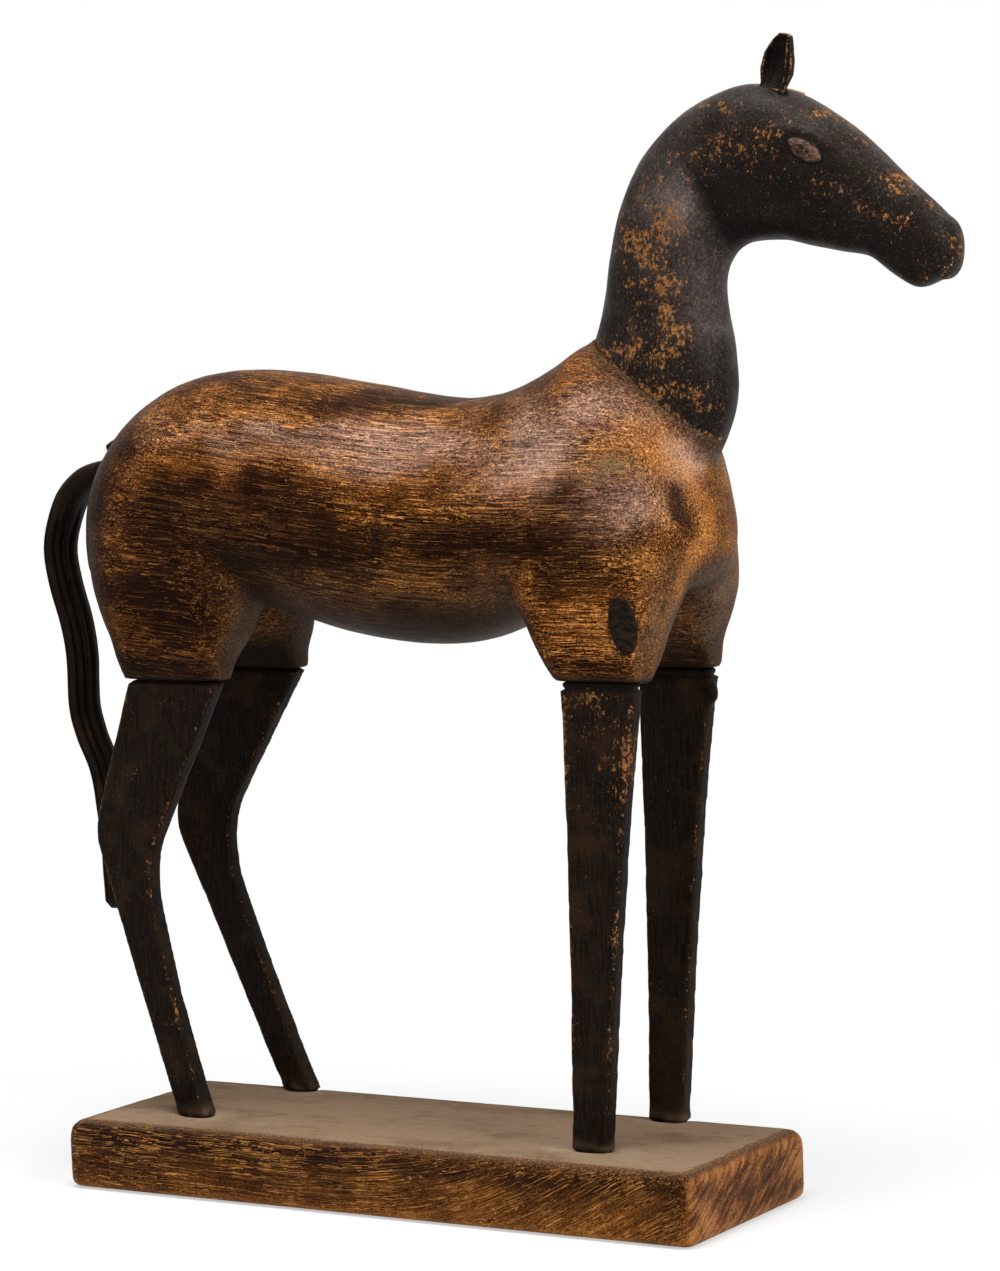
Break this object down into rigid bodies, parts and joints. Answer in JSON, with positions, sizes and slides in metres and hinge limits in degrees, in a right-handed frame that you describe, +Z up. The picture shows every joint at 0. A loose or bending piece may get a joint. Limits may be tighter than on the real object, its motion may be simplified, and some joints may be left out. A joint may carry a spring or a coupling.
{
  "type": "folk art horse statue",
  "caption": "Standing carved wooden horse on a plank base, with slat legs let into stubs of the trunk, a separate neck and head, a bowed tail and a single ear.",
  "frame": {"origin": "centre of the plank base's underside", "axes": "+Z up, +X toward the horse's head, +Y to the horse's left"},
  "size_m": [0.5636, 0.135, 0.6027],
  "materials": {
    "stained_wood": "dark brown stained hardwood, satin, worn to orange brown on its ridges",
    "black_paint": "near black painted wood, satin, with small chips down to orange brown wood",
    "leg_paint": "dark brown painted wood, satin, worn along the edges",
    "dusty_wood": "brown plank, matt and dusty above, dark and worn at its sides",
    "bare_wood": "bare light wood, matt"
  },
  "bodies": {
    "root": {"base": "dusty_wood", "fore_leg_right": "leg_paint", "fore_leg_left": "leg_paint", "hind_leg_right": "leg_paint", "hind_leg_left": "leg_paint", "torso": "stained_wood", "neck_head": "black_paint", "tail": "leg_paint", "tail_wedge": "black_paint", "shoulder_plug": "black_paint", "neck_dowel_rear": "bare_wood", "neck_dowel_front": "bare_wood", "eye_right": "leg_paint", "eye_left": "leg_paint", "ear_right": "black_paint", "ear_left_stump": "bare_wood"}
  },
  "joints": []
}
